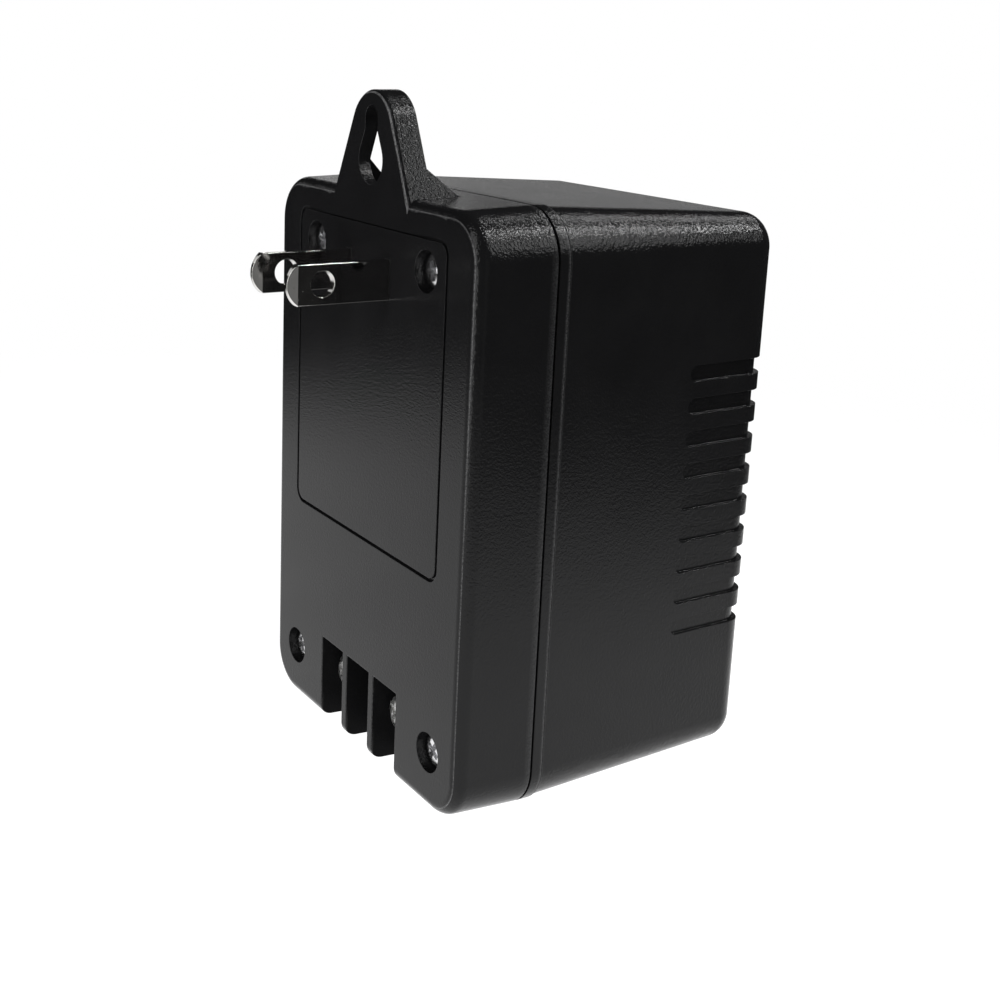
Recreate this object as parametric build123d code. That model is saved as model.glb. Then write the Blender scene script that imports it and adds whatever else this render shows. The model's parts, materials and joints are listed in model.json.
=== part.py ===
from build123d import *
import os
from math import acos, atan2, cos, hypot, radians, sin, tan

# Plug-in wall transformer: two blades, a keyhole hanging tab and a screw terminal recess.
# Millimetres. X runs right as seen facing the blades, Y from the wall face to the back, Z up.
# The origin is midway between the blades, on the wall face.

# Case, measured at the seam between the front cover and the rear housing
case_width = 65.4
case_height = 95.6
case_corner = 8.0
blade_drop = 13.2
cover_depth = 13.4
housing_depth = 44.3
cover_draft = 1.8
housing_draft = 3.2
wall = 2.5
front_wall = 2.8
back_wall = 2.5
front_edge = 2.2
back_edge = 4.0
rim_band = 2.2
rim_step = 0.25
seam_gap = 0.3
seam_land = 1.0
tongue_height = 2.0
tongue_thickness = 1.3
tongue_root = 3.0
fit_gap = 0.15
cut_over = 1.0

# Outline groove on the wall face
panel_width = 47.8
panel_top = 8.0
panel_height = 52.1
panel_corner = 2.2
panel_groove = 0.55
panel_groove_depth = 0.6

# Blades
blade_pitch = 12.7
blade_width = 6.35
blade_thickness = 1.52
blade_length = 17.3
blade_tip = 1.65
blade_tip_thickness = 0.7
blade_hole = 4.0
blade_hole_depth = 11.5
blade_wing_width = 8.6
blade_wing_start = 2.0
blade_wing_length = 1.4
blade_tail_width = 4.0
blade_tail_length = 4.6
blade_tail_hole = 1.6
blade_boss_margin = 3.2
blade_boss_depth = 5.6

# Hanging tab
tab_rise = 15.4
tab_top_radius = 6.8
tab_flank = 25.0
tab_plate = 2.1
tab_depth = 4.6
tab_rim = 1.3
tab_bevel = 0.5
gusset_rise = 4.0
gusset_setback = 4.0
keyhole_slot = 3.9
keyhole_round = 7.6
keyhole_top_wall = 2.4
keyhole_travel = 6.4
keyhole_neck = 4.6

# Case screws
upper_screw_spread = 35.9
upper_screw_height = 3.0
lower_screw_spread = 46.8
lower_screw_rise = 10.0
well_gap = 0.4
well_depth = 3.4
cover_boss_wall = 1.5
shank_gap = 0.25
housing_boss_diameter = 7.6
pilot_room = 3.1
boss_rib = 1.6
case_screw_head = 5.7
case_screw_head_height = 2.3
case_screw_shank = 2.9
case_screw_length = 20.0

# Terminal recess at the lower edge of the wall face
bay_width = 7.6
barrier = 1.7
recess_height = 15.6
recess_depth = 6.0
recess_wall = 2.0
terminal_side_gap = 0.5
terminal_height = 8.6
terminal_thickness = 0.9
terminal_tail_width = 3.0
terminal_screw_drop = 5.8
terminal_screw_head = 5.8
terminal_screw_head_height = 2.8
terminal_screw_shank = 3.4
terminal_screw_length = 4.6
terminal_boss_wall = 1.6
slot_gap = 0.1

# Grip grooves on both sides of the housing
grip_count = 9
grip_pitch = 5.3
grip_height = 2.6
grip_depth = 0.65
grip_length = 16.8
grip_wrap = 4.5

# Core: E and I laminations in multiples of one leg, stacked front to back to fill the case
leg = 9.5
coil_clearance = 1.2
core_post = 7.0
locator_wall = 2.0
locator_reach = 10.0
locator_grip = 9.0
core_gap = 0.2

# Bobbin, windings and tape
bobbin_wall = 1.0
bobbin_flange = 1.0
window_gap = 0.6
winding_corner = 4.0
tape = 0.3
flange_margin = 0.7
ledge_depth = 3.2
ledge_height = 3.0
pin_diameter = 1.0
pin_length = 5.0
pin_inset = 3.5
pin_root = 1.6

# Thermal fuse and leads
fuse_diameter = 3.5
fuse_length = 8.6
fuse_wire = 0.8
fuse_wire_reach = 1.4
lead_diameter = 1.8
lead_core = 1.2
lead_core_stub = 0.8
lead_bend = 2.0
lead_exit = 2.8

# Screw crowns and drives
screw_crown = 0.7
drive_width = 0.9
drive_length = 3.4
drive_depth = 1.2
slot_length = 4.8

# Places worked out from the sizes above
depth = cover_depth + housing_depth
case_top = blade_drop
case_bottom = case_top - case_height
case_centre = (case_top + case_bottom) / 2
cover_slope = tan(radians(cover_draft))
housing_slope = tan(radians(housing_draft))
draft_start = cover_depth + rim_band
inner_back = depth - back_wall
inner_back_inset = rim_step + (inner_back - draft_start) * housing_slope
tab_root = case_top - cover_depth * cover_slope - front_edge
gusset_end = cover_depth - gusset_setback
well_diameter = case_screw_head + 2 * well_gap
cover_boss_radius = well_diameter / 2 + cover_boss_wall
pilot_end = well_depth + case_screw_length + pilot_room
screw_places = [
    (side * spread / 2, height)
    for spread, height in (
        (upper_screw_spread, upper_screw_height),
        (lower_screw_spread, case_bottom + lower_screw_rise),
    )
    for side in (-1, 1)
]
recess_width = 3 * bay_width + 2 * barrier
recess_top = case_bottom + recess_height
bay_pitch = bay_width + barrier
terminal_width = bay_width - 2 * terminal_side_gap
terminal_screw_z = recess_top - terminal_screw_drop
terminal_front = recess_depth - terminal_thickness
terminal_top = terminal_screw_z + terminal_height / 2
core_width = 5 * leg
core_height = 6 * leg
winding_build = leg - core_gap - bobbin_wall - flange_margin - window_gap
coil_overhang = core_gap + bobbin_wall + winding_build
stack = inner_back - front_wall - 2 * (coil_overhang + flange_margin + coil_clearance)
core_middle = (front_wall + inner_back) / 2
core_front = core_middle - stack / 2
core_back = core_middle + stack / 2
lead_y = (recess_depth + recess_wall + core_front) / 2
terminal_tail_end = lead_y + terminal_tail_width / 2
window_half = 1.5 * leg
bobbin_half = window_half - core_gap
coil_edge = leg + coil_overhang
coil_front = core_front - coil_overhang
flange_edge = coil_edge + flange_margin
ledge_edge = flange_edge + ledge_height
pin_y = coil_front + ledge_depth / 2
tail_end = blade_boss_depth + blade_tail_length
tail_hole_y = tail_end - blade_tail_width / 2
pin_places = [
    (-bobbin_half + pin_inset, 1),
    (-pin_inset, 1),
    (pin_inset, -1),
    (bobbin_half - pin_inset, -1),
]


def at_depth(y):
    return Plane.XZ.offset(-y)


def prism(profile, front, back):
    # A profile drawn in X and Z, solid from one depth to another
    return extrude(at_depth(back) * profile, amount=back - front)


def block(x, y, z):
    # A box from three (low, high) pairs
    middle = [(low + high) / 2 for low, high in (x, y, z)]
    size = [high - low for low, high in (x, y, z)]
    return Pos(*middle) * Box(*size)


def span(low, high, width):
    # A rectangle along the first axis of a drawing, centred on it
    return Pos((low + high) / 2, 0) * Rectangle(high - low, width)


def case_outline(inset):
    rounded = RectangleRounded(case_width - 2 * inset, case_height - 2 * inset, case_corner - inset)
    return Pos(0, case_centre) * rounded


def case_ring(outer, inner, front, back):
    return prism(case_outline(outer) - case_outline(inner), front, back)


def drafted(front, front_inset, back, back_inset):
    sections = [
        at_depth(front) * case_outline(front_inset),
        at_depth(back) * case_outline(back_inset),
    ]
    return loft(sections)


def cover_inset(y):
    return (cover_depth - y) * cover_slope


def housing_inset(y):
    return rim_step + (y - draft_start) * housing_slope


def tab_outline(inset):
    # A round top running tangent into two straight flanks that spread downwards
    radius = tab_top_radius - inset
    centre = case_top + tab_rise - tab_top_radius
    lean = radians(tab_flank)
    shoulder_x = radius * cos(lean)
    shoulder_z = centre + radius * sin(lean)
    root_x = shoulder_x + (shoulder_z - tab_root) * tan(lean)
    flanks = Polygon(
        (-root_x, tab_root),
        (root_x, tab_root),
        (shoulder_x, shoulder_z),
        (-shoulder_x, shoulder_z),
        align=None,
    )
    return flanks + Pos(0, centre) * Circle(radius)


def keyhole():
    slot_centre = case_top + tab_rise - keyhole_top_wall - keyhole_slot / 2
    round_centre = slot_centre - keyhole_travel
    slot_half = keyhole_slot / 2
    radius = keyhole_round / 2
    # Each flank runs from the end of the slot's straight side, tangent to the round
    tangent = atan2(keyhole_neck, slot_half) - acos(radius / hypot(slot_half, keyhole_neck))
    flank_x = radius * cos(tangent)
    flank_z = radius * sin(tangent)
    neck = Polygon(
        (-flank_x, flank_z),
        (flank_x, flank_z),
        (slot_half, keyhole_neck),
        (slot_half, keyhole_travel),
        (-slot_half, keyhole_travel),
        (-slot_half, keyhole_neck),
        align=None,
    )
    outline = Pos(0, keyhole_travel) * Circle(slot_half) + neck + Circle(radius)
    return Pos(0, round_centre) * outline


def hanging_tab():
    # A front plate flush with the wall face, a rim behind it and a sloped gusset on each flank
    plate = prism(tab_outline(0), 0, tab_plate)
    rim = prism(tab_outline(0) - tab_outline(tab_rim), 0, gusset_end)
    top = case_top + tab_rise + tab_rim
    profile = Polygon(
        (0, tab_root),
        (gusset_end, tab_root),
        (gusset_end, case_top - cover_inset(gusset_end)),
        (tab_depth, case_top + gusset_rise),
        (tab_depth, top),
        (0, top),
        align=None,
    )
    rim &= extrude(Plane.YZ * profile, amount=case_width / 2, both=True)
    tab = plate + rim
    front_edges = tab.faces().sort_by(Axis.Y)[0].outer_wire().edges()
    bevelled = front_edges.sort_by(Axis.Z)[1:]
    tab = chamfer(bevelled, tab_bevel)
    return tab - prism(keyhole(), -cut_over, tab_depth + cut_over)


def screw(head, head_height, shank, length):
    # Head up, seat at Z 0; the crown slopes to its rim
    body = Pos(0, 0, head_height / 2) * Cylinder(head / 2, head_height)
    rim = body.edges().group_by(Axis.Z)[-1]
    body = chamfer(rim, screw_crown)
    return body + Pos(0, 0, -length / 2) * Cylinder(shank / 2, length)


def drive(head_height, length):
    bar = Box(length, drive_width, 2 * drive_depth)
    return Pos(0, 0, head_height) * bar


def facing_wall(x, y, z):
    # Turns a piece built along Z so that its top looks to the wall
    return Pos(x, y, z) * Rot(90, 0, 0)


def make_blade(x):
    half = blade_width / 2
    tip_radius = (half**2 + blade_tip**2) / (2 * blade_tip)
    straight_start = -blade_length + blade_tip
    straight = span(straight_start, blade_boss_depth, blade_width)
    tip = span(-blade_length, straight_start, blade_width)
    tip &= Pos(-blade_length + tip_radius, 0) * Circle(tip_radius)
    wing = span(blade_wing_start, blade_wing_start + blade_wing_length, blade_wing_width)
    tail = span(blade_boss_depth, tail_end, blade_tail_width)
    outline = straight + tip + wing + tail
    outline -= Pos(-blade_hole_depth, 0) * Circle(blade_hole / 2)
    outline -= Pos(tail_hole_y, 0) * Circle(blade_tail_hole / 2)
    side_view = extrude(Plane.YZ * outline, amount=blade_thickness, both=True)
    thick = blade_thickness / 2
    thin = blade_tip_thickness / 2
    coined = Polygon(
        (-thin, -blade_length),
        (thin, -blade_length),
        (thick, straight_start),
        (thick, tail_end),
        (-thick, tail_end),
        (-thick, straight_start),
        align=None,
    )
    top_view = extrude(coined, amount=blade_wing_width, both=True)
    return Pos(x, 0, 0) * (side_view & top_view)


def make_terminal_plate(x):
    # A plate with the screw hole, and a tail at its top that goes back through the recess wall
    plate = block(
        (-terminal_width / 2, terminal_width / 2),
        (terminal_front, recess_depth),
        (terminal_top - terminal_height, terminal_top),
    )
    plate += block(
        (-terminal_tail_width / 2, terminal_tail_width / 2),
        (recess_depth, terminal_tail_end),
        (terminal_top - terminal_thickness, terminal_top),
    )
    hole = Pos(0, terminal_screw_z) * Circle(terminal_screw_shank / 2)
    return Pos(x, 0, 0) * (plate - prism(hole, 0, recess_depth + cut_over))


def make_front_cover(blades):
    outer = drafted(0, cover_inset(0), cover_depth, 0)
    front_face = outer.faces().sort_by(Axis.Y)[0]
    outer = fillet(front_face.edges(), front_edge)
    cavity = drafted(front_wall, wall + cover_inset(front_wall), cover_depth, wall)
    cover = outer - cavity
    recess_half = recess_width / 2
    shroud = block(
        (-recess_half - recess_wall, recess_half + recess_wall),
        (0, recess_depth + recess_wall),
        (case_bottom - wall, recess_top + recess_wall),
    )
    cover += shroud & outer
    for x, z in screw_places:
        cover += prism(Pos(x, z) * Circle(cover_boss_radius), front_wall / 2, cover_depth)
    boss = Rectangle(blade_pitch + 2 * blade_boss_margin, blade_wing_width + blade_boss_margin)
    cover += prism(boss, front_wall / 2, blade_boss_depth)
    for x in (-1, 1):
        for z in (-1, 1):
            post_x = x * (core_width - core_post) / 2
            post_z = case_centre + z * (core_height - core_post) / 2
            post = Pos(post_x, post_z) * Circle(core_post / 2)
            cover += prism(post, front_wall / 2, core_front)
    for x in (-bay_pitch, bay_pitch):
        boss = Pos(x, terminal_screw_z) * Circle(terminal_screw_shank / 2 + slot_gap + terminal_boss_wall)
        cover += prism(boss, recess_depth, recess_depth + terminal_screw_length + terminal_boss_wall)
    cover += hanging_tab()
    for x, z in screw_places:
        cover -= prism(Pos(x, z) * Circle(well_diameter / 2), -cut_over, well_depth)
        shank_hole = Pos(x, z) * Circle(case_screw_shank / 2 + shank_gap)
        cover -= prism(shank_hole, 0, cover_depth + cut_over)
    for x in (-bay_pitch, 0, bay_pitch):
        cover -= block(
            (x - bay_width / 2, x + bay_width / 2),
            (-cut_over, recess_depth),
            (case_bottom - cut_over, recess_top),
        )
    for x in (-bay_pitch, bay_pitch):
        shank_hole = Pos(x, terminal_screw_z) * Circle(terminal_screw_shank / 2 + slot_gap)
        cover -= prism(shank_hole, 0, recess_depth + terminal_screw_length)
        half = terminal_tail_width / 2 + slot_gap
        tail_slot = (terminal_top - terminal_thickness - slot_gap, terminal_top + slot_gap)
        cover -= block((x - half, x + half), (0, cover_depth), tail_slot)
    outline = Pos(0, panel_top - panel_height / 2)
    groove = outline * RectangleRounded(
        panel_width + panel_groove, panel_height + panel_groove, panel_corner + panel_groove / 2
    )
    groove -= outline * RectangleRounded(
        panel_width - panel_groove, panel_height - panel_groove, panel_corner - panel_groove / 2
    )
    cover -= prism(groove, -cut_over, panel_groove_depth)
    for blade in blades:
        cover -= blade
    return cover


def grip_cuts():
    # Round-ended slots seen from the side, kept to a skin as deep as a groove; they wrap the back edge
    wrap_start = case_width / 2 - housing_inset(depth) - grip_wrap
    start = depth - grip_length + grip_height / 2
    side_view = Sketch()
    for n in range(grip_count):
        z = case_centre + (n - (grip_count - 1) / 2) * grip_pitch
        side_view += Pos(start, z) * Circle(grip_height / 2)
        side_view += Pos(0, z) * span(start, depth + cut_over, grip_height)
    slots = extrude(Plane.YZ * side_view, amount=case_width, both=True)
    slots -= block((-wrap_start, wrap_start), (cover_depth, depth + 2 * cut_over), (case_bottom, case_top))
    skin = drafted(
        draft_start,
        housing_inset(draft_start) + grip_depth,
        depth - grip_depth,
        housing_inset(depth) + grip_depth,
    )
    skin = fillet(skin.faces().sort_by(Axis.Y)[-1].edges(), back_edge - grip_depth / 2)
    return slots - skin


def corner_square(x, z, inward, outward):
    # A square at one corner of the core, reaching inward and outward from it
    shift = (outward - inward) / 2
    place = Pos(x * (core_width / 2 + shift), case_centre + z * (core_height / 2 + shift))
    return place * Rectangle(inward + outward, inward + outward)


def make_rear_housing():
    rim = prism(case_outline(0), cover_depth, draft_start)
    body = drafted(draft_start, housing_inset(draft_start), depth, housing_inset(depth))
    body = fillet(body.faces().sort_by(Axis.Y)[-1].edges(), back_edge)
    housing = rim + body
    housing -= drafted(cover_depth, wall, inner_back, wall + inner_back_inset)
    rooted = inner_back + back_wall / 2
    inside = drafted(cover_depth, wall / 2, rooted, wall / 2 + inner_back_inset)
    tongue_outer = wall + fit_gap
    tongue_inner = tongue_outer + tongue_thickness
    tongue = case_ring(tongue_outer, tongue_inner, cover_depth - tongue_height, cover_depth)
    for x, z in screw_places:
        boss_room = Pos(x, z) * Circle(cover_boss_radius + fit_gap)
        tongue -= prism(boss_room, cover_depth - tongue_height, cover_depth)
    root = case_ring(wall / 2, tongue_inner, cover_depth, cover_depth + tongue_root)
    housing += tongue + root
    ribs_front = cover_depth + tongue_root
    for x, z in screw_places:
        boss = Pos(x, z) * Circle(housing_boss_diameter / 2)
        housing += prism(boss, cover_depth, rooted)
        toward = 1 if z > case_centre else -1
        rib = Pos(x, z + toward * case_corner) * Rectangle(boss_rib, 2 * case_corner)
        housing += prism(rib, ribs_front, rooted) & inside
    core_room = Pos(0, case_centre) * Rectangle(core_width + 2 * core_gap, core_height + 2 * core_gap)
    for x in (-1, 1):
        for z in (-1, 1):
            housing += prism(corner_square(x, z, core_post, 0), core_back, rooted)
            angle = corner_square(x, z, locator_grip, core_gap + locator_wall) - core_room
            housing += prism(angle, core_back - locator_reach, rooted)
    for x, z in screw_places:
        pilot = Pos(x, z) * Circle(case_screw_shank / 2 + slot_gap)
        housing -= prism(pilot, cover_depth - cut_over, pilot_end)
    housing -= case_ring(-cut_over, seam_land, cover_depth - cut_over, cover_depth + seam_gap)
    return housing - grip_cuts()


def make_case_screws():
    one = screw(case_screw_head, case_screw_head_height, case_screw_shank, case_screw_length)
    for turn in (45, 135):
        one -= Rot(0, 0, turn) * drive(case_screw_head_height, drive_length)
    return Compound(children=[facing_wall(x, well_depth, z) * one for x, z in screw_places])


def make_terminal_screws():
    length = terminal_screw_length + terminal_thickness - slot_gap
    one = screw(terminal_screw_head, terminal_screw_head_height, terminal_screw_shank, length)
    one -= drive(terminal_screw_head_height, slot_length)
    one -= Rot(0, 0, 90) * drive(terminal_screw_head_height, drive_length)
    places = [facing_wall(x, terminal_front, terminal_screw_z) for x in (-bay_pitch, bay_pitch)]
    return Compound(children=[place * one for place in places])


def make_core():
    # The E opens towards +X and the I closes it; the window holds the coil
    middle = Pos(0, case_centre)
    e_shape = middle * Pos(-leg / 2, 0) * Rectangle(core_width - leg, core_height)
    for side in (-1, 1):
        e_shape -= middle * Pos(0, side * window_half) * Rectangle(2 * window_half, leg)
    i_shape = middle * Pos((core_width - leg) / 2, 0) * Rectangle(leg, core_height)
    return prism(e_shape, core_front, core_back), prism(i_shape, core_front, core_back)


def coil_size(grow):
    # Section round the middle leg, square to the coil axis: its depth and its height
    margin = 2 * (core_gap + grow)
    return stack + margin, 2 * leg + margin


def along_axis(profile, low, high):
    plane = Plane.YZ.offset(low)
    return extrude(plane * Pos(core_middle, case_centre) * profile, amount=high - low)


def make_bobbin():
    # A tube round the middle leg, three flanges, and a pin ledge on the front of each section
    bore = Rectangle(*coil_size(0))
    flange_size = coil_size(bobbin_wall + winding_build + flange_margin)
    flange = RectangleRounded(*flange_size, winding_corner + flange_margin) - bore
    bobbin = along_axis(Rectangle(*coil_size(bobbin_wall)) - bore, -bobbin_half, bobbin_half)
    for low in (-bobbin_half, -bobbin_flange / 2, bobbin_half - bobbin_flange):
        bobbin += along_axis(flange, low, low + bobbin_flange)
    for side, low, high in ((1, -bobbin_half, 0), (-1, 0, bobbin_half)):
        heights = sorted(case_centre + side * edge for edge in (coil_edge, ledge_edge))
        bobbin += block((low, high), (coil_front, coil_front + ledge_depth), heights)
    for x, side in pin_places:
        bobbin -= make_pin(x, side)
    return bobbin


def make_pin(x, side):
    length = pin_root + pin_length
    middle = ledge_edge - pin_root + length / 2
    return Pos(x, pin_y, case_centre + side * middle) * Cylinder(pin_diameter / 2, length)


def make_windings():
    pieces = {}
    inner = Rectangle(*coil_size(bobbin_wall))
    outer = RectangleRounded(*coil_size(bobbin_wall + winding_build - tape), winding_corner - tape)
    skin = RectangleRounded(*coil_size(bobbin_wall + winding_build), winding_corner)
    half = bobbin_half - bobbin_flange
    for name, low, high in (
        ("primary", -half, -bobbin_flange / 2),
        ("secondary", bobbin_flange / 2, half),
    ):
        pieces[name + "_winding"] = along_axis(outer - inner, low, high)
        pieces[name + "_tape"] = along_axis(skin - outer, low, high)
    return pieces


def along_path(path, diameter):
    section = Plane(path @ 0, z_dir=path % 0) * Circle(diameter / 2)
    return sweep(section, path=path, transition=Transition.RIGHT)


def make_fuse():
    # Lies on the primary tape between the pin ledge and the core, one wire to the outer pin
    y = (coil_front + ledge_depth + core_front) / 2
    z = case_centre + coil_edge + fuse_diameter / 2
    middle = -bobbin_half / 2
    body = Pos(middle, y, z) * Rot(0, 90, 0) * Cylinder(fuse_diameter / 2, fuse_length)
    body = chamfer(body.edges(), fuse_wire / 2)
    ends = [middle - fuse_length / 2, middle + fuse_length / 2]
    pin_x = pin_places[0][0]
    pin_z = case_centre + ledge_edge + pin_length / 2
    bend = ends[0] - fuse_wire_reach
    splice_x = ends[1] + fuse_wire_reach
    splice = (splice_x, y, z / 2)
    to_pin = [(ends[0], y, z), (bend, y, z), (bend, y, pin_z), (pin_x, y, pin_z), (pin_x, pin_y, pin_z)]
    to_lead = [(ends[1], y, z), (splice_x, y, z), splice]
    fuse = body
    for points in (to_pin, to_lead):
        fuse += along_path(Polyline(*points), fuse_wire)
    return fuse - make_pin(*pin_places[0]), splice


def make_leads(splice):
    # Blade leads end on the blade tails with a bare core through the hole; coil leads on the pins
    leads = {}
    tail_face = (blade_pitch - blade_thickness) / 2
    core_length = blade_thickness + lead_core_stub
    pin_z = case_centre + ledge_edge + pin_length / 2
    turn = tail_face - lead_exit
    pin_side = pin_places[1][0] + pin_diameter / 2
    routes = {
        "left_blade_lead": [
            (-tail_face, tail_hole_y, 0),
            (-turn, tail_hole_y, 0),
            (splice[0], splice[1], -lead_exit),
            splice,
        ],
        "right_blade_lead": [
            (tail_face, tail_hole_y, 0),
            (turn, tail_hole_y, 0),
            (pin_side + lead_exit, pin_y, pin_z),
            (pin_side, pin_y, pin_z),
        ],
    }
    for name, points in routes.items():
        side = 1 if points[0][0] > 0 else -1
        bare = Pos(side * (tail_face + core_length / 2), tail_hole_y, 0) * Rot(0, 90, 0)
        bare *= Cylinder(lead_core / 2, core_length)
        leads[name] = along_path(FilletPolyline(*points, radius=lead_bend), lead_diameter) + bare
    pin_z = case_centre - ledge_edge - pin_length / 2
    for name, pin, x in (
        ("left_terminal_lead", pin_places[2], -bay_pitch),
        ("right_terminal_lead", pin_places[3], bay_pitch),
    ):
        points = [
            (pin[0], pin_y + pin_diameter / 2, pin_z),
            (pin[0], lead_y, pin_z),
            (x, lead_y, (pin_z + terminal_top) / 2),
            (x, lead_y, terminal_top),
        ]
        leads[name] = along_path(FilletPolyline(*points, radius=lead_bend), lead_diameter)
    return leads


def build():
    parts = {}
    left_blade = make_blade(-blade_pitch / 2)
    right_blade = make_blade(blade_pitch / 2)
    parts["front_cover"] = make_front_cover([left_blade, right_blade])
    parts["rear_housing"] = make_rear_housing()
    parts["left_blade"] = left_blade
    parts["right_blade"] = right_blade
    parts["case_screws"] = make_case_screws()
    parts["terminal_screws"] = make_terminal_screws()
    parts["left_terminal_plate"] = make_terminal_plate(-bay_pitch)
    parts["right_terminal_plate"] = make_terminal_plate(bay_pitch)
    parts["core_e_stack"], parts["core_i_stack"] = make_core()
    parts["bobbin"] = make_bobbin()
    parts.update(make_windings())
    parts["bobbin_pins"] = Compound(children=[make_pin(x, side) for x, side in pin_places])
    parts["thermal_fuse"], splice = make_fuse()
    parts.update(make_leads(splice))
    return parts


parts = build()
os.makedirs("parts", exist_ok=True)
for name, piece in parts.items():
    export_step(piece, f"parts/{name}.step")
    print(name, len(piece.solids()), round(piece.volume, 1))
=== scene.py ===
import json
import math

import bmesh
import bpy
from mathutils import Matrix, Vector


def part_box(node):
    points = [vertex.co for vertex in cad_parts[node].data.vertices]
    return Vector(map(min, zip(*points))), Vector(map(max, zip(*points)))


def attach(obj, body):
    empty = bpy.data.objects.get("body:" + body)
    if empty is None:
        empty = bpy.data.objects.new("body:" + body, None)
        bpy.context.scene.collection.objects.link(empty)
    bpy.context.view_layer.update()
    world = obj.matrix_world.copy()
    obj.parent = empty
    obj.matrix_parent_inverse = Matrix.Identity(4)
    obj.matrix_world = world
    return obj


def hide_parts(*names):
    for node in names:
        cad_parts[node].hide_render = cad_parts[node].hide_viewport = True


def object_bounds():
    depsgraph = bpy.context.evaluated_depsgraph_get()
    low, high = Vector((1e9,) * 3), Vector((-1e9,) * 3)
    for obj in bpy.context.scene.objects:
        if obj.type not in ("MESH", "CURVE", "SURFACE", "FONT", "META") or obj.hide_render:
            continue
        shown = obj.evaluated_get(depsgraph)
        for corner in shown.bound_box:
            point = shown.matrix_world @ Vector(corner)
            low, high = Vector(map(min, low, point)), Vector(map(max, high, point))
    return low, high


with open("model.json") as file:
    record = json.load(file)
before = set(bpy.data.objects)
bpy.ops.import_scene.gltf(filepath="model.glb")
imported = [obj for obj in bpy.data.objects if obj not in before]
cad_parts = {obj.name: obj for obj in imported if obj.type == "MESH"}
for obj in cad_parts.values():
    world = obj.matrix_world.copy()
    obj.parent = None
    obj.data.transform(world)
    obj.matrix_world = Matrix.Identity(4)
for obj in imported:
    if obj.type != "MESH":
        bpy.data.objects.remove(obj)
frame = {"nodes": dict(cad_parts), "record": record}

cadBox = [list(corner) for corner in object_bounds()]
nodes = frame["nodes"]
scene = bpy.context.scene
mm = 0.001
print("frame loaded:", len(nodes), "nodes")


# Small helpers for node trees, used by materials and by geometry

def addNode(tree, kind, inputs=None, **settings):
    node = tree.nodes.new(kind)
    for name, value in settings.items():
        setattr(node, name, value)
    for key, value in (inputs or {}).items():
        if isinstance(value, bpy.types.NodeSocket):
            tree.links.new(value, node.inputs[key])
        else:
            node.inputs[key].default_value = value
    return node


def calc(tree, operation, *values):
    inputs = dict(enumerate(values))
    return addNode(tree, "ShaderNodeMath", inputs, operation=operation).outputs[0]


def remap(tree, value, low, high, newLow, newHigh):
    inputs = {"Value": value, "From Min": low, "From Max": high, "To Min": newLow, "To Max": newHigh}
    return addNode(tree, "ShaderNodeMapRange", inputs).outputs["Result"]


def noise(tree, place, size, detail, rough=0.5):
    inputs = {"Vector": place, "Scale": 1 / size, "Detail": detail, "Roughness": rough}
    return addNode(tree, "ShaderNodeTexNoise", inputs).outputs["Fac"]


noiseSpan = (0.3, 0.7)  # where nearly all values of a noise lie


def newMaterial(name, **sockets):
    material = bpy.data.materials.new(name)
    material.use_nodes = True
    tree = material.node_tree
    shader = tree.nodes["Principled BSDF"]
    for socket, value in sockets.items():
        shader.inputs[socket.replace("_", " ")].default_value = value
    place = addNode(tree, "ShaderNodeTexCoord").outputs["Object"]
    return material, tree, shader, place


def tint(tree, shader, factor, dark, light):
    ramp = addNode(tree, "ShaderNodeValToRGB", {"Fac": factor})
    ramp.color_ramp.elements[0].color = (*dark, 1)
    ramp.color_ramp.elements[1].color = (*light, 1)
    tree.links.new(ramp.outputs["Color"], shader.inputs["Base Color"])


def bump(tree, shader, height, distance, strength=1.0):
    inputs = {"Height": height, "Distance": distance, "Strength": strength}
    node = addNode(tree, "ShaderNodeBump", inputs)
    tree.links.new(node.outputs["Normal"], shader.inputs["Normal"])


# Black moulded plastic with a fine spark texture

plastic = {
    "dark": (0.0076, 0.0076, 0.0081),
    # colour of the painted highlight along the seams and the lips of the wall face
    "paintedHighlight": (0.22, 0.22, 0.223),
    "grain": 0.5 * mm,
    "fleck": 0.25 * mm,
    "fleckShare": 0.35,
    "cloud": 9 * mm,
    "cloudShare": 0.024,
    "depth": 0.075 * mm,
    "faceGrain": 0.33,
    "faceTurn": (-0.97, -0.75),
    "sideGrain": 0.55,
    "sideTurn": (0.08, 0.35),
    "rough": (0.1, 0.15),
    "shine": (0.148, 0.02),  # on show, then inside the terminal bays
    "dullRough": 0.3,
    "bays": (13.2 * mm, -66.3 * mm, 0.4 * mm, 12 * mm),  # half width, top, front and back
    "lip": 0.25 * mm,
    "lipFrom": (-0.95, -0.85),
    "lipTo": (-0.5, -0.2),
    "dots": (0.2, 1.0),
}
# how much painted highlight each seam gets
coverSeam = {"at": 13.2 * mm, "width": 1.1 * mm, "paintedHighlight": 0.18}
housingSeam = {"at": 15.5 * mm, "width": 0.5 * mm, "paintedHighlight": 0.4}


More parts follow.
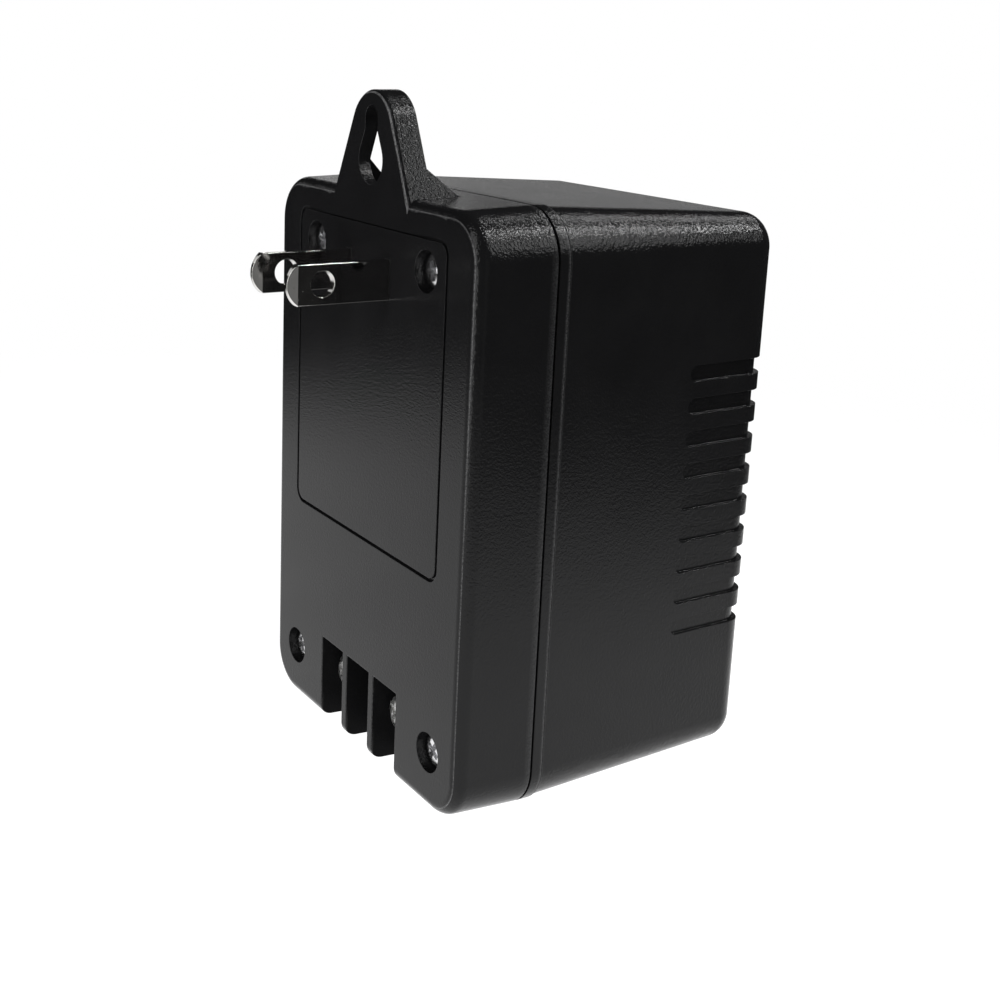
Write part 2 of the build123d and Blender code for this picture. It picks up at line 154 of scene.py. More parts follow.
def mouldedPlastic(name, look, seam):
    material, tree, shader, place = newMaterial(name, IOR=1.52)
    grain = noise(tree, place, look["grain"], 1.5, 0.6)
    fleck = noise(tree, place, look["fleck"], 1.0)
    cloud = noise(tree, place, look["cloud"], 3.0)
    x, y, z = addNode(tree, "ShaderNodeSeparateXYZ", {"Vector": place}).outputs
    normal = addNode(tree, "ShaderNodeNewGeometry").outputs["Normal"]
    turned = addNode(tree, "ShaderNodeSeparateXYZ", {"Vector": normal}).outputs
    facing = turned["Y"]
    # The sides left the mould smoother than the top, and the wall face smoother still
    onFace = remap(tree, facing, *look["faceTurn"], look["faceGrain"], 1.0)
    onSide = remap(tree, turned["Z"], *look["sideTurn"], look["sideGrain"], 1.0)
    # Painted highlight: the seam and the lips of the wall face are coloured a little lighter, in dots
    away = calc(tree, "ABSOLUTE", calc(tree, "SUBTRACT", y, seam["at"]))
    seamHighlight = remap(tree, away, 0.0, seam["width"], seam["paintedHighlight"], 0.0)
    rounded = calc(tree, "MULTIPLY", remap(tree, facing, *look["lipFrom"], 0.0, 1.0),
                   remap(tree, facing, *look["lipTo"], 1.0, 0.0))
    lipHighlight = calc(tree, "MULTIPLY", rounded, calc(tree, "LESS_THAN", y, look["lip"]))
    dots = remap(tree, fleck, *noiseSpan, *look["dots"])
    paintedHighlight = calc(tree, "MULTIPLY", calc(tree, "MAXIMUM", seamHighlight, lipHighlight), dots)
    toneAndHighlight = calc(tree, "ADD", calc(tree, "MULTIPLY", cloud, look["cloudShare"]), paintedHighlight)
    # the base colour mixes a random tone with the painted highlight
    tint(tree, shader, toneAndHighlight, look["dark"], look["paintedHighlight"])
    # The mould was left dull inside the terminal bays
    half, top, front, back = look["bays"]
    across = calc(tree, "LESS_THAN", calc(tree, "ABSOLUTE", x), half)
    behind = calc(tree, "GREATER_THAN", y, front)
    within = calc(tree, "MULTIPLY", behind, calc(tree, "LESS_THAN", y, back))
    below = calc(tree, "LESS_THAN", z, top)
    dull = calc(tree, "MULTIPLY", calc(tree, "MULTIPLY", across, within), below)
    tree.links.new(remap(tree, dull, 0.0, 1.0, *look["shine"]), shader.inputs["Specular IOR Level"])
    rough = remap(tree, calc(tree, "ADD", grain, cloud), 0.6, 1.4, *look["rough"])
    rough = calc(tree, "ADD", rough, calc(tree, "MULTIPLY", dull, look["dullRough"]))
    tree.links.new(rough, shader.inputs["Roughness"])
    height = calc(tree, "ADD", grain, calc(tree, "MULTIPLY", fleck, look["fleckShare"]))
    height = calc(tree, "MULTIPLY", height, calc(tree, "MINIMUM", onFace, onSide))
    bump(tree, shader, height, look["depth"])
    return material


# Bright metals: clouded plating with pits and a few dents

metals = {
    "bladeNickel": {
        "dark": (0.6, 0.59, 0.57), "light": (0.74, 0.73, 0.71), "rough": (0.05, 0.11), "pit": 0.5 * mm},
    "screwZinc": {
        "dark": (0.66, 0.66, 0.67), "light": (0.85, 0.85, 0.86), "rough": (0.16, 0.28), "pit": 0.35 * mm},
    "terminalNickel": {
        "dark": (0.68, 0.68, 0.67), "light": (0.88, 0.88, 0.87), "rough": (0.12, 0.44), "pit": 0.4 * mm},
    "pinTin": {
        "dark": (0.6, 0.6, 0.58), "light": (0.76, 0.75, 0.73), "rough": (0.25, 0.4), "pit": 0.3 * mm},
}
plating = {
    "cloud": 2.2 * mm,
    "depth": 0.012 * mm,
    "strength": 0.6,
    "dentSize": 0.7,
    "dentFrom": (0.7, 0.8),
    "dentHeight": 1.2,
}


def platedMetal(name, look):
    material, tree, shader, place = newMaterial(name, Metallic=1.0)
    pits = noise(tree, place, look["pit"], 3.0, 0.65)
    cloud = noise(tree, place, plating["cloud"], 3.0)
    tint(tree, shader, cloud, look["dark"], look["light"])
    tree.links.new(remap(tree, cloud, *noiseSpan, *look["rough"]), shader.inputs["Roughness"])
    knocks = noise(tree, place, look["pit"] * plating["dentSize"], 1.0)
    dents = remap(tree, knocks, *plating["dentFrom"], 0.0, plating["dentHeight"])
    bump(tree, shader, calc(tree, "ADD", pits, dents), plating["depth"], plating["strength"])
    return material


# Finishes of what the housing hides

steel = {
    "bands": 0.31 / mm, "waver": 0.4, "depth": 0.06 * mm, "varnish": 4 * mm,
    "dark": (0.1, 0.1, 0.105), "light": (0.2, 0.2, 0.21), "rough": (0.35, 0.55),
}
copper = {
    "bands": 0.52 / mm, "waver": 0.3, "depth": 0.15 * mm,
    "dark": (0.3, 0.09, 0.035), "light": (0.66, 0.29, 0.13), "rough": (0.45, 0.25),
}


def bands(tree, place, look, direction):
    inputs = {"Vector": place, "Scale": look["bands"], "Distortion": look["waver"]}
    return addNode(tree, "ShaderNodeTexWave", inputs, bands_direction=direction).outputs["Fac"]


def laminatedSteel(name, look):
    material, tree, shader, place = newMaterial(name, Metallic=0.7)
    sheets = bands(tree, place, look, "Y")
    varnish = noise(tree, place, look["varnish"], 3.0)
    tint(tree, shader, varnish, look["dark"], look["light"])
    tree.links.new(remap(tree, varnish, *noiseSpan, *look["rough"]), shader.inputs["Roughness"])
    bump(tree, shader, sheets, look["depth"])
    return material


def enamelledWire(name, look):
    material, tree, shader, place = newMaterial(name, Metallic=0.9)
    turns = bands(tree, place, look, "X")
    tint(tree, shader, turns, look["dark"], look["light"])
    tree.links.new(remap(tree, turns, 0, 1, *look["rough"]), shader.inputs["Roughness"])
    bump(tree, shader, turns, look["depth"])
    return material


softLooks = {
    "bobbinNylon": {
        "dark": (0.68, 0.66, 0.6), "light": (0.8, 0.79, 0.74),
        "size": 6 * mm, "rough": (0.4, 0.55), "depth": 0.02 * mm},
    "tapeYellow": {
        "dark": (0.78, 0.56, 0.06), "light": (0.9, 0.7, 0.14),
        "size": 5 * mm, "rough": (0.15, 0.3), "depth": 0.03 * mm},
    "fuseBody": {
        "dark": (0.6, 0.6, 0.58), "light": (0.75, 0.75, 0.73),
        "size": 2 * mm, "rough": (0.35, 0.5), "depth": 0.02 * mm},
    "leadBlack": {
        "dark": (0.015, 0.015, 0.015), "light": (0.035, 0.035, 0.036),
        "size": 1.5 * mm, "rough": (0.5, 0.65), "depth": 0.02 * mm},
    "leadRed": {
        "dark": (0.36, 0.025, 0.02), "light": (0.5, 0.05, 0.035),
        "size": 1.5 * mm, "rough": (0.5, 0.65), "depth": 0.02 * mm},
}


def softFinish(name, look):
    material, tree, shader, place = newMaterial(name)
    cloud = noise(tree, place, look["size"], 3.0)
    tint(tree, shader, cloud, look["dark"], look["light"])
    tree.links.new(remap(tree, cloud, *noiseSpan, *look["rough"]), shader.inputs["Roughness"])
    bump(tree, shader, noise(tree, place, look["size"] / 6, 2.0), look["depth"])
    return material


finishes = {
    "cover_plastic": mouldedPlastic("coverPlastic", plastic, coverSeam),
    "housing_plastic": mouldedPlastic("housingPlastic", plastic, housingSeam),
    "blade_nickel": platedMetal("bladeNickel", metals["bladeNickel"]),
    "screw_zinc": platedMetal("screwZinc", metals["screwZinc"]),
    "terminal_nickel": platedMetal("terminalNickel", metals["terminalNickel"]),
    "pin_tin": platedMetal("pinTin", metals["pinTin"]),
    "core_steel": laminatedSteel("coreSteel", steel),
    "winding_copper": enamelledWire("windingCopper", copper),
    "bobbin_nylon": softFinish("bobbinNylon", softLooks["bobbinNylon"]),
    "tape_yellow": softFinish("tapeYellow", softLooks["tapeYellow"]),
    "fuse_body": softFinish("fuseBody", softLooks["fuseBody"]),
    "lead_black": softFinish("leadBlack", softLooks["leadBlack"]),
    "lead_red": softFinish("leadRed", softLooks["leadRed"]),
}
slotOf = {part["node"]: part["material_slot"] for part in frame["record"]["subparts"]}
for name, node in nodes.items():
    node.data.materials.clear()
    node.data.materials.append(finishes[slotOf[name]])
print("finishes made:", len(finishes))


# Moulded and pressed pieces: the solid's own form with its sharp edges eased

weld = 0.0005 * mm
angles = {"level": 0.4, "crease": 25.0, "sharp": 32.0}  # in degrees


def weldedShape(mesh, distance):
    shape = bmesh.new()
    shape.from_mesh(mesh)
    bmesh.ops.remove_doubles(shape, verts=shape.verts, dist=distance)
    return shape


def applyModifiers(piece):
    depsgraph = bpy.context.evaluated_depsgraph_get()
    finished = bpy.data.meshes.new_from_object(piece.evaluated_get(depsgraph))
    piece.modifiers.clear()
    piece.data = finished


def flatPatches(shape, levelAngle):
    # Faces that lie in one plane are one patch: each face gets the patch's normal times its area
    pull = {}
    for first in shape.faces:
        if first in pull:
            continue
        patch = [first]
        pull[first] = None
        area = 0.0
        for face in patch:
            area += face.calc_area()
            for link in face.edges:
                for near in link.link_faces:
                    if near not in pull and near.normal.angle(first.normal, math.pi) < levelAngle:
                        pull[near] = None
                        patch.append(near)
        for face in patch:
            pull[face] = (first.index, first.normal * area)
    return pull


def levelShading(piece, creaseAngle):
    # Large flats keep their own normal, so only the eased edges and fillets shade across
    shape = bmesh.new()
    shape.from_mesh(piece.data)
    for face in shape.faces:
        face.smooth = True
    for link in shape.edges:
        link.smooth = len(link.link_faces) == 2 and link.calc_face_angle(0) < math.radians(creaseAngle)
    shape.normal_update()
    pull = flatPatches(shape, math.radians(angles["level"]))
    normals = {}
    for vert in shape.verts:
        pairs = [link.link_faces[:] for link in vert.link_edges if link.smooth]
        waiting = set(vert.link_faces)
        while waiting:
            fan = [waiting.pop()]
            for face in fan:
                for pair in pairs:
                    if face in pair:
                        fan += [near for near in pair if near in waiting]
                        waiting -= set(pair)
            total = sum(dict(pull[face] for face in fan).values(), Vector())
            for face in fan:
                normals[face.index, vert.index] = total.normalized()
    corners = [normals[face.index, vert.index] for face in shape.faces for vert in face.verts]
    shape.to_mesh(piece.data)
    shape.free()
    piece.data.normals_split_custom_set(corners)


def standFor(piece, nodeName):
    piece.data.materials.clear()
    piece.data.materials.append(finishes[slotOf[nodeName]])
    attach(piece, "root")
    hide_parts(nodeName)
    print(piece.name, "made:", len(piece.data.polygons), "faces")


def easedCopy(nodeName, pieceName, widthAt, segments):
    mesh = nodes[nodeName].data.copy()
    mesh.name = pieceName
    piece = bpy.data.objects.new(pieceName, mesh)
    scene.collection.objects.link(piece)
    shape = weldedShape(mesh, weld)
    weight = shape.edges.layers.float.new("bevel_weight_edge")
    widest = 0.0
    for edge in shape.edges:
        if len(edge.link_faces) == 2 and edge.calc_face_angle(0) > math.radians(angles["sharp"]):
            middle = (edge.verts[0].co + edge.verts[1].co) / 2
            edge[weight] = widthAt(middle / mm)
            widest = max(widest, edge[weight])
    for edge in shape.edges:
        edge[weight] = edge[weight] / widest
    for face in shape.faces:
        face.smooth = True
    shape.to_mesh(mesh)
    shape.free()
    ease = piece.modifiers.new("ease", "BEVEL")
    ease.limit_method = "WEIGHT"
    ease.width = widest * mm
    ease.segments = segments
    ease.use_clamp_overlap = False
    ease.loop_slide = False
    ease.miter_outer = "MITER_SHARP"
    applyModifiers(piece)
    levelShading(piece, angles["crease"])
    standFor(piece, nodeName)


# Widths of the eased edges, and where each kind of edge begins, in millimetres
cover = {
    "edge": 0.18,
    "tab": 0.14,
    "tabFrom": 12.0,
    "seam": 0.22,
    "seamFrom": 9.0,
    "bay": 0.22,
    "bayTop": -66.0,
    "bayHalf": 13.5,
    "groove": 0.1,
    "grooveEnd": 0.8,
    "segments": 2,
}


def coverEdge(place):
    x, y, z = place
    if z > cover["tabFrom"]:
        return cover["tab"]
    if y > cover["seamFrom"]:
        return cover["seam"]
    if z < cover["bayTop"] and abs(x) < cover["bayHalf"]:
        return cover["bay"]
    if y < cover["grooveEnd"]:
        return cover["groove"]
    return cover["edge"]


housing = {
    "edge": 0.1,
    "rim": 0.22,
    "rimEnd": 15.6,
    "rimReach": 0.05,
    "grip": 0.06,
    "gripFrom": 38.0,
    "gripHalf": 20.0,
    "segments": 3,
}
plate = {"edge": 0.1, "segments": 2}


def housingEdge(place):
    x, y, z = place
    if abs(y - housing["rimEnd"]) < housing["rimReach"]:
        return housing["rim"]
    if y > housing["gripFrom"] and abs(x) > housing["gripHalf"]:
        return housing["grip"]
    return housing["edge"]


def plateEdge(place):
    return plate["edge"]


easedCopy("front_cover", "frontCover", coverEdge, cover["segments"])
easedCopy("rear_housing", "rearHousing", housingEdge, housing["segments"])
for side in ("left", "right"):
    easedCopy(side + "_terminal_plate", side + "TerminalPlate", plateEdge, plate["segments"])


# Blades: pressed from strip, with a punched hole, wings under the cover and a coined tip.
# They are drawn in millimetres and scaled at the end.

blade = {
    "width": 6.35,
    "thickness": 1.52,
    "tipArc": 1.65,
    "tipThickness": 0.7,
    "tipSteps": 12,
    "hole": 4.0,
    "holeDepth": 11.5,
    "holeSteps": 56,
    "wing": (2.0, 3.4, 8.6),  # start, end and width
    "tailStart": 5.6,
    "tailWidth": 4.0,
    "tailSteps": 20,
    "tailHole": 1.6,
    "tailHoleSteps": 32,
    "edge": 0.15,
    "edgeSteps": 7,
    "weld": 0.002,
    "crease": 13.0,
}


def ring(y, z, radius, steps):
    turn = 2 * math.pi / steps
    return [(y + radius * math.cos(i * turn), z + radius * math.sin(i * turn)) for i in range(steps)]


def sweepTo(angle, steps):
    return [angle * i / steps for i in range(steps + 1)]


def pressedBlade(nodeName, pieceName, look):
    low, high = [Vector(corner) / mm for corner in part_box(nodeName)]
    middleX = (low.x + high.x) / 2
    half = look["width"] / 2
    wingStart, wingEnd, wingWidth = look["wing"]
    tail = look["tailWidth"] / 2
    taperEnd = low.y + look["tipArc"]
    tipRadius = (half ** 2 + look["tipArc"] ** 2) / (2 * look["tipArc"])
    sweep = math.asin(half / tipRadius)
    tip = [(low.y + tipRadius * (1 - math.cos(a)), tipRadius * math.sin(a))
           for a in sweepTo(sweep, look["tipSteps"])]
    upper = tip + [
        (wingStart, half), (wingStart, wingWidth / 2), (wingEnd, wingWidth / 2), (wingEnd, half),
        (look["tailStart"], half), (look["tailStart"], tail)]
    tailEnd = [(high.y - tail + tail * math.sin(a), tail * math.cos(a))
               for a in sweepTo(math.pi, look["tailSteps"])]
    outline = upper + tailEnd + [(y, -z) for y, z in reversed(upper[1:])]
    flat = bpy.data.curves.new(pieceName, "CURVE")
    flat.dimensions = "2D"
    flat.fill_mode = "BOTH"
    flat.extrude = look["thickness"] / 2 - look["edge"]
    flat.bevel_depth = look["edge"]
    flat.bevel_resolution = look["edgeSteps"]
    flat.offset = -look["edge"]
    hole = ring(-look["holeDepth"], 0, look["hole"] / 2, look["holeSteps"])
    tailHole = ring(high.y - tail, 0, look["tailHole"] / 2, look["tailHoleSteps"])
    for points in (outline, hole, tailHole):
        spline = flat.splines.new("POLY")
        spline.points.add(len(points) - 1)
        for point, (y, z) in zip(spline.points, points):
            point.co = (y, z, 0, 1)
        spline.use_cyclic_u = True
    piece = bpy.data.objects.new(pieceName, flat)
    scene.collection.objects.link(piece)
    depsgraph = bpy.context.evaluated_depsgraph_get()
    mesh = bpy.data.meshes.new_from_object(piece.evaluated_get(depsgraph))
    bpy.data.objects.remove(piece)
    shape = weldedShape(mesh, look["weld"])
    everything = shape.verts[:] + shape.edges[:] + shape.faces[:]
    bmesh.ops.bisect_plane(shape, geom=everything, plane_co=(taperEnd, 0, 0), plane_no=(1, 0, 0))
    thin = 1 - look["tipThickness"] / look["thickness"]
    for vert in shape.verts:
        y, z, x = vert.co
        x *= 1 - thin * max(0.0, (taperEnd - y) / look["tipArc"])
        vert.co = Vector((middleX + x, y, z)) * mm
    bmesh.ops.recalc_face_normals(shape, faces=shape.faces)
    shape.to_mesh(mesh)
    shape.free()
    piece = bpy.data.objects.new(pieceName, mesh)
    scene.collection.objects.link(piece)
    levelShading(piece, look["crease"])
    standFor(piece, nodeName)


pressedBlade("left_blade", "leftBlade", blade)
pressedBlade("right_blade", "rightBlade", blade)


# Screws: one geometry tree draws a driven head on a threaded shank and sets one on every seat

screwDrawing = {
    "rimSides": 72,
    "domeRings": 14,
    "domePower": 4.0,
    "crossFoot": (0.45, 0.7),  # share of a cut's length and width that is left at its foot
    "slotFoot": (1.0, 0.95),
    "shankSides": 32,
    "threadSteps": 28,
    "threadSides": 3,
    "gentleBend": 0.6,
}


def islands(nodeName):
    shape = weldedShape(nodes[nodeName].data, weld)
    unseen = set(shape.verts)
    boxes = []
    while unseen:
        queue = [unseen.pop()]
        found = []
        while queue:
            vert = queue.pop()
            found.append(vert.co.copy())
            near = {link.other_vert(vert) for link in vert.link_edges} & unseen
            unseen -= near
            queue += near
        boxes.append([
            Vector([pick(co[axis] for co in found) for axis in range(3)]) for pick in (min, max)])
    shape.free()
    return sorted(boxes, key=lambda box: tuple(box[0]))


def screwTree(look):
    tree = bpy.data.node_groups.new("drivenScrew", "GeometryNodeTree")
    tree.interface.new_socket("Geometry", in_out="INPUT", socket_type="NodeSocketGeometry")
    lengths = [
        "Head Diameter", "Head Height", "Crown", "Drive Width", "Drive Length", "Drive Depth",
        "Slot Length", "Slot Depth", "Shank Diameter", "Shank Length", "Thread Pitch", "Thread Depth"]
    for label in lengths + ["Turn From", "Turn To"]:
        tree.interface.new_socket(label, in_out="INPUT", socket_type="NodeSocketFloat")
    tree.interface.new_socket("Seed", in_out="INPUT", socket_type="NodeSocketInt")
    tree.interface.new_socket("Finish", in_out="INPUT", socket_type="NodeSocketMaterial")
    tree.interface.new_socket("Geometry", in_out="OUTPUT", socket_type="NodeSocketGeometry")
    given = tree.nodes.new("NodeGroupInput").outputs

    def raised(mesh, height):
        lift = addNode(tree, "ShaderNodeCombineXYZ", {"Z": height}).outputs[0]
        return addNode(tree, "GeometryNodeTransform", {"Geometry": mesh, "Translation": lift}).outputs[0]

    def half(value):
        return calc(tree, "MULTIPLY", value, 0.5)

    # A domed head: its top drops towards the rim
    radius = half(given["Head Diameter"])
    head = addNode(tree, "GeometryNodeMeshCylinder", {
        "Vertices": look["rimSides"], "Side Segments": 1, "Fill Segments": look["domeRings"],
        "Radius": radius, "Depth": given["Head Height"]}, fill_type="TRIANGLE_FAN").outputs["Mesh"]
    position = tree.nodes.new("GeometryNodeInputPosition").outputs[0]
    x, y, z = addNode(tree, "ShaderNodeSeparateXYZ", {0: position}).outputs
    out = calc(tree, "ADD", calc(tree, "MULTIPLY", x, x), calc(tree, "MULTIPLY", y, y))
    out = calc(tree, "DIVIDE", calc(tree, "SQRT", out), radius)
    dome = calc(tree, "MULTIPLY", calc(tree, "POWER", out, look["domePower"]), given["Crown"])
    drop = addNode(tree, "ShaderNodeCombineXYZ", {"Z": calc(tree, "MULTIPLY", dome, -1.0)}).outputs[0]
    head = addNode(tree, "GeometryNodeSetPosition", {
        "Geometry": head, "Selection": calc(tree, "GREATER_THAN", z, 0.0), "Offset": drop}).outputs[0]

    # The drive is cut by bars that narrow towards their foot
    def bar(length, depth, footLength, footWidth):
        size = addNode(tree, "ShaderNodeCombineXYZ", {
            "X": length, "Y": given["Drive Width"], "Z": calc(tree, "MULTIPLY", depth, 2.0)}).outputs[0]
        cube = addNode(tree, "GeometryNodeMeshCube", {"Size": size}).outputs["Mesh"]
        foot = addNode(tree, "ShaderNodeCombineXYZ", {
            "X": calc(tree, "MULTIPLY", x, footLength),
            "Y": calc(tree, "MULTIPLY", y, footWidth), "Z": z}).outputs[0]
        cube = addNode(tree, "GeometryNodeSetPosition", {
            "Geometry": cube, "Selection": calc(tree, "LESS_THAN", z, 0.0), "Position": foot}).outputs[0]
        return raised(cube, half(given["Head Height"]))

    arm = bar(given["Drive Length"], given["Drive Depth"], *look["crossFoot"])
    across = addNode(tree, "GeometryNodeTransform", {
        "Geometry": arm, "Rotation": (0, 0, math.pi / 2)}).outputs[0]
    slot = bar(given["Slot Length"], given["Slot Depth"], *look["slotFoot"])
    cut = addNode(tree, "GeometryNodeMeshBoolean", {
        "Mesh 1": head}, operation="DIFFERENCE", solver="EXACT")
    for cutter in (arm, across, slot):
        tree.links.new(cutter, cut.inputs["Mesh 2"])
    head = cut.outputs["Mesh"]

    core = calc(tree, "SUBTRACT", half(given["Shank Diameter"]), given["Thread Depth"])
    shank = addNode(tree, "GeometryNodeMeshCylinder", {
        "Vertices": look["shankSides"], "Radius": core, "Depth": given["Shank Length"]}).outputs["Mesh"]
    threaded = calc(tree, "SUBTRACT", given["Shank Length"], given["Thread Pitch"])
    helix = addNode(tree, "GeometryNodeCurveSpiral", {
        "Resolution": look["threadSteps"], "Start Radius": core, "End Radius": core, "Height": threaded,
        "Rotations": calc(tree, "DIVIDE", threaded, given["Thread Pitch"])}).outputs[0]
    ridge = addNode(tree, "GeometryNodeCurvePrimitiveCircle", {
        "Resolution": look["threadSides"], "Radius": given["Thread Depth"]}).outputs[0]
    thread = addNode(tree, "GeometryNodeCurveToMesh", {
        "Curve": helix, "Profile Curve": ridge, "Fill Caps": True}).outputs[0]
    whole = tree.nodes.new("GeometryNodeJoinGeometry")
    for piece in (raised(head, half(given["Head Height"])),
                  raised(shank, calc(tree, "MULTIPLY", given["Shank Length"], -0.5)),
                  raised(thread, calc(tree, "MULTIPLY", given["Shank Length"], -1.0))):
        tree.links.new(piece, whole.inputs[0])
    bend = tree.nodes.new("GeometryNodeInputMeshEdgeAngle").outputs["Unsigned Angle"]
    gentle = calc(tree, "LESS_THAN", bend, look["gentleBend"])
    smooth = addNode(tree, "GeometryNodeSetShadeSmooth", {
        "Geometry": whole.outputs[0], "Shade Smooth": gentle}, domain="EDGE").outputs[0]
    turn = addNode(tree, "FunctionNodeRandomValue", {
        2: given["Turn From"], 3: given["Turn To"], "Seed": given["Seed"]}, data_type="FLOAT").outputs[1]
    toWall = addNode(tree, "ShaderNodeCombineXYZ", {"X": math.pi / 2, "Y": turn}).outputs[0]
    placed = addNode(tree, "GeometryNodeInstanceOnPoints", {
        "Points": given["Geometry"], "Instance": smooth, "Rotation": toWall}).outputs[0]
    real = addNode(tree, "GeometryNodeRealizeInstances", {"Geometry": placed}).outputs[0]
    done = addNode(tree, "GeometryNodeSetMaterial", {
        "Geometry": real, "Material": given["Finish"]}).outputs[0]
    addNode(tree, "NodeGroupOutput", {"Geometry": done})
    return tree


def screwSet(tree, nodeName, pieceName, look):
    boxes = islands(nodeName)
    headHeight = look["Head Height"]
    seats = [((low.x + high.x) / 2, low.y + headHeight, (low.z + high.z) / 2) for low, high in boxes]
    low, high = boxes[0]
    values = dict(look)
    values["Head Diameter"] = high.x - low.x
    values["Shank Length"] = high.y - low.y - headHeight
    values["Finish"] = finishes[slotOf[nodeName]]
    points = bpy.data.meshes.new(pieceName)
    points.from_pydata(seats, [], [])
    piece = bpy.data.objects.new(pieceName, points)
    scene.collection.objects.link(piece)
    grow = piece.modifiers.new("screws", "NODES")
    grow.node_group = tree
    for item in tree.interface.items_tree:
        if item.in_out == "INPUT" and item.name in values:
            grow[item.identifier] = values[item.name]
    applyModifiers(piece)
    standFor(piece, nodeName)


caseScrew = {
    "Head Height": 2.3 * mm, "Crown": 0.7 * mm, "Drive Width": 1.1 * mm, "Drive Length": 3.9 * mm,
    "Drive Depth": 1.3 * mm, "Slot Length": 3.0 * mm, "Slot Depth": 0.4 * mm, "Shank Diameter": 2.9 * mm,
    "Thread Pitch": 1.3 * mm, "Thread Depth": 0.3 * mm, "Turn From": 0.3, "Turn To": 1.5, "Seed": 4,
}
terminalScrew = {
    "Head Height": 2.8 * mm, "Crown": 0.6 * mm, "Drive Width": 1.0 * mm, "Drive Length": 3.8 * mm,
    "Drive Depth": 1.1 * mm, "Slot Length": 7.0 * mm, "Slot Depth": 0.8 * mm, "Shank Diameter": 3.4 * mm,
    "Thread Pitch": 0.6 * mm, "Thread Depth": 0.25 * mm, "Turn From": 0.2, "Turn To": 1.2, "Seed": 2,
}
drivenScrew = screwTree(screwDrawing)
screwSet(drivenScrew, "case_screws", "caseScrews", caseScrew)
screwSet(drivenScrew, "terminal_screws", "terminalScrews", terminalScrew)


# Studio: pale floor, soft boxes, camera where the photograph was taken from

studio = {
    "floorMiddle": (-0.03, -0.02),
    "floorRadius": 0.36,
    "floorSides": 96,
    "fade": (0.11, 0.32),
    "floor": (0.3, 0.3, 0.3),
    "mottle": 0.05,
    "glow": (0.87, 1.32),
    "glowAcross": (-0.1, 0.1),
    "sky": 0.015,
    "target": (0, 0.02, -0.03),
}
lights = {
    "mainBox": {"at": (0.54, 0.52, 0.45), "size": (0.3, 0.34), "power": 1.8},
    "topStrip": {"at": (0.257, 0.547, 0.651), "size": (0.035, 0.5), "power": 4.0, "along": (0, 1, 0)},
    "thinStrip": {"at": (-0.18, 0.62, 0.65), "size": (0.08, 0.36), "power": 1.1, "along": (0, 1, 0)},
    "backBox": {"at": (-0.75, 0.53, -0.02), "size": (0.9, 0.32), "power": 0.31},
    "edgeBox": {"at": (-0.87, 0.39, 0.155), "size": (0.27, 0.09), "power": 0.085},
    "leftBox": {"at": (-0.8, -0.3, 0.28), "size": (0.3, 0.2), "power": 0.12},
    "frontStrip": {"at": (0.08, -0.85, 0.15), "size": (0.35, 1.4), "power": 6.2},
    "rightCard": {"at": (0.9, -0.09, 0.0), "size": (0.36, 0.7), "power": 0.13},
}
photoCamera = {
    "at": (0.20754, -0.11373, 0.03777),
    "yaw": 61.82,
    "pitch": -14.27,
    "roll": 1.315,
    "lens": 54.18,
    "shift": (0.15, -0.09),
}


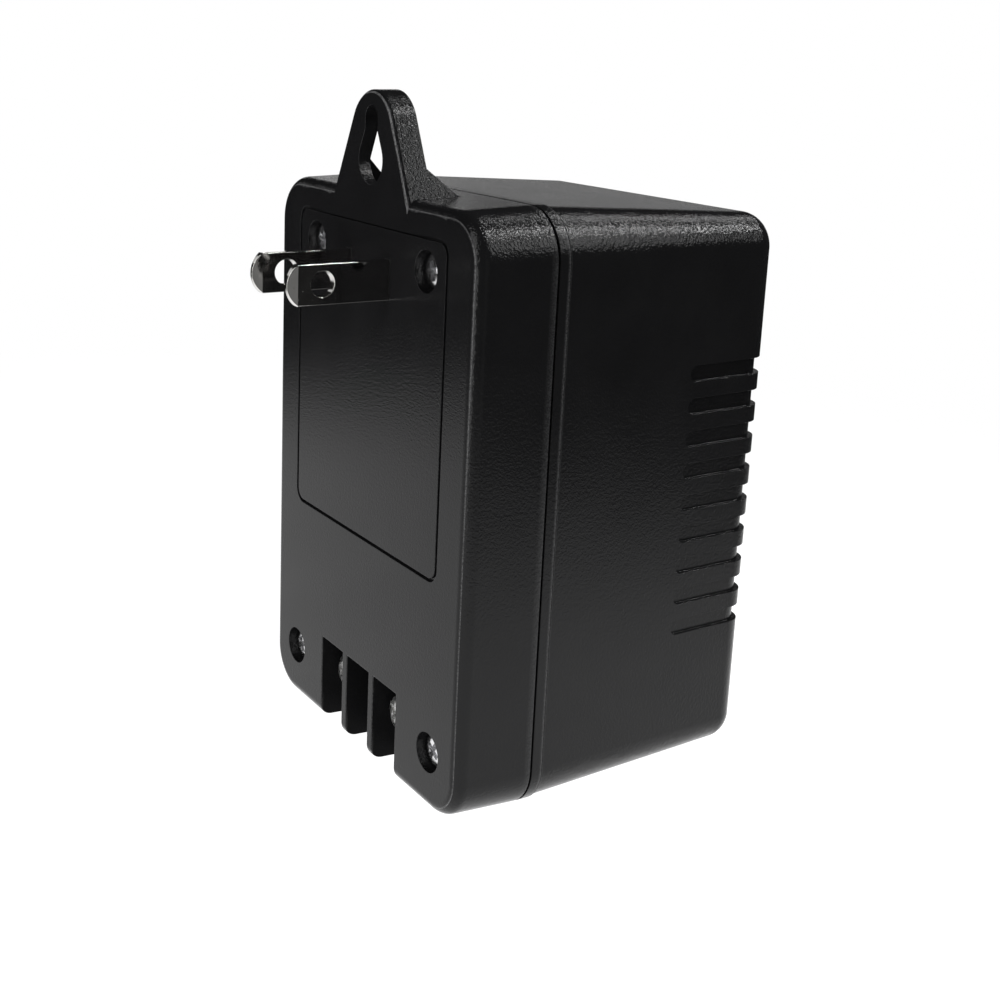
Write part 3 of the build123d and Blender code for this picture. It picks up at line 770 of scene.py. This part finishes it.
def buildFloor(look):
    # A round pool of light that thins out towards its rim
    height = cadBox[0][2]
    middle = Vector((*look["floorMiddle"], height))
    mesh = bpy.data.meshes.new("floor")
    sides = look["floorSides"]
    corners = [middle + Vector((x, y, 0)) for x, y in ring(0, 0, look["floorRadius"], sides)]
    mesh.from_pydata(corners, [], [range(sides)])
    floor = bpy.data.objects.new("floor", mesh)
    scene.collection.objects.link(floor)
    material, tree, shader, place = newMaterial("paleFloor", Roughness=0.9, Emission_Color=(1, 1, 1, 1))
    mottle = noise(tree, place, look["mottle"], 3.0)
    tint(tree, shader, mottle, [c * 0.97 for c in look["floor"]], look["floor"])
    across = addNode(tree, "ShaderNodeSeparateXYZ", {"Vector": place}).outputs["X"]
    glow = remap(tree, across, *look["glowAcross"], *look["glow"])
    tree.links.new(glow, shader.inputs["Emission Strength"])
    apart = addNode(tree, "ShaderNodeVectorMath", {
        0: place, 1: middle}, operation="DISTANCE").outputs["Value"]
    near, far = look["fade"]
    solid = addNode(tree, "ShaderNodeMapRange", {
        "Value": apart, "From Min": near, "From Max": far, "To Min": 1.0, "To Max": 0.0},
        interpolation_type="SMOOTHSTEP").outputs["Result"]
    tree.links.new(solid, shader.inputs["Alpha"])
    mesh.materials.append(material)


def buildLights(boxes, target):
    for name, box in boxes.items():
        data = bpy.data.lights.new(name, "AREA")
        data.shape = "RECTANGLE"
        data.size, data.size_y = box["size"]
        data.energy = box["power"]
        light = bpy.data.objects.new(name, data)
        back = (Vector(box["at"]) - target).normalized()
        across = Vector(box.get("along", (0, 0, 1))).cross(back).normalized()
        turn = Matrix((across, back.cross(across), back)).transposed()
        light.matrix_world = Matrix.Translation(box["at"]) @ turn.to_4x4()
        light.visible_camera = False
        scene.collection.objects.link(light)


def buildWorld(look):
    world = bpy.data.worlds.new("studio")
    world.use_nodes = True
    tree = world.node_tree
    tree.nodes.clear()
    seen = addNode(tree, "ShaderNodeBackground", {"Color": (1, 1, 1, 1), "Strength": 1.0})
    soft = addNode(tree, "ShaderNodeBackground", {"Color": (1, 1, 1, 1), "Strength": look["sky"]})
    isCamera = addNode(tree, "ShaderNodeLightPath").outputs["Is Camera Ray"]
    mix = addNode(tree, "ShaderNodeMixShader", {0: isCamera, 1: soft.outputs[0], 2: seen.outputs[0]})
    addNode(tree, "ShaderNodeOutputWorld", {"Surface": mix.outputs[0]})
    scene.world = world


def buildCamera(view):
    data = bpy.data.cameras.new("photoCamera")
    data.sensor_width = 36
    data.lens = view["lens"]
    data.shift_x, data.shift_y = view["shift"]
    data.clip_start = 0.01
    camera = bpy.data.objects.new("photoCamera", data)
    turn = Matrix.Rotation(math.radians(view["yaw"]), 4, "Z")
    turn @= Matrix.Rotation(math.radians(90 + view["pitch"]), 4, "X")
    turn @= Matrix.Rotation(math.radians(view["roll"]), 4, "Z")
    camera.matrix_world = Matrix.Translation(view["at"]) @ turn
    scene.collection.objects.link(camera)
    scene.camera = camera


buildFloor(studio)
buildLights(lights, Vector(studio["target"]))
buildWorld(studio)
buildCamera(photoCamera)
scene.view_settings.view_transform = "Standard"
print("studio built")
